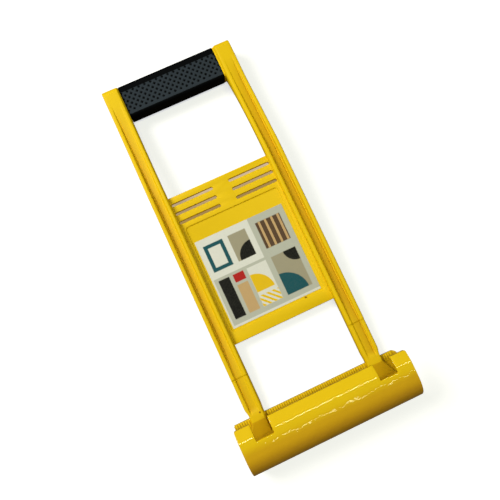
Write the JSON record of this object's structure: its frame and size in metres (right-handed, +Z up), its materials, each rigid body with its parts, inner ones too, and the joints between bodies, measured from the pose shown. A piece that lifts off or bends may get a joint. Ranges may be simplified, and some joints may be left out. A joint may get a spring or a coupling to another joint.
{
  "type": "panel carrier",
  "caption": "One-hand carrier for building boards: a wide open hook takes the board's lower edge, two ribbed rails rise past a slotted panel to a soft set-back grip.",
  "frame": {"origin": "middle of the bounding box in X and Y, on the floor that the part lies on", "axes": "+X across the part to the grip's flanged end, +Y from the hook to the grip, +Z up, out of the front that meets the board; the part lies on its back and is tilted about X so that the hook's round back and the grip's back edge touch the floor"},
  "size_m": [0.17, 0.3962, 0.0431],
  "materials": {
    "body": "satin moulded plastic, warm yellow",
    "grip": "dark blue-grey knurled soft grip",
    "label": "printed label"
  },
  "bodies": {
    "root": {"left_rail": "body", "right_rail": "body", "left_leg": "body", "right_leg": "body", "left_strap": "body", "right_strap": "body", "handle_core": "body", "grip_sleeve": "grip", "centre_panel": "body", "label": "label", "hook_back": "body", "hook_floor": "body", "hook_lip": "body"}
  },
  "joints": []
}
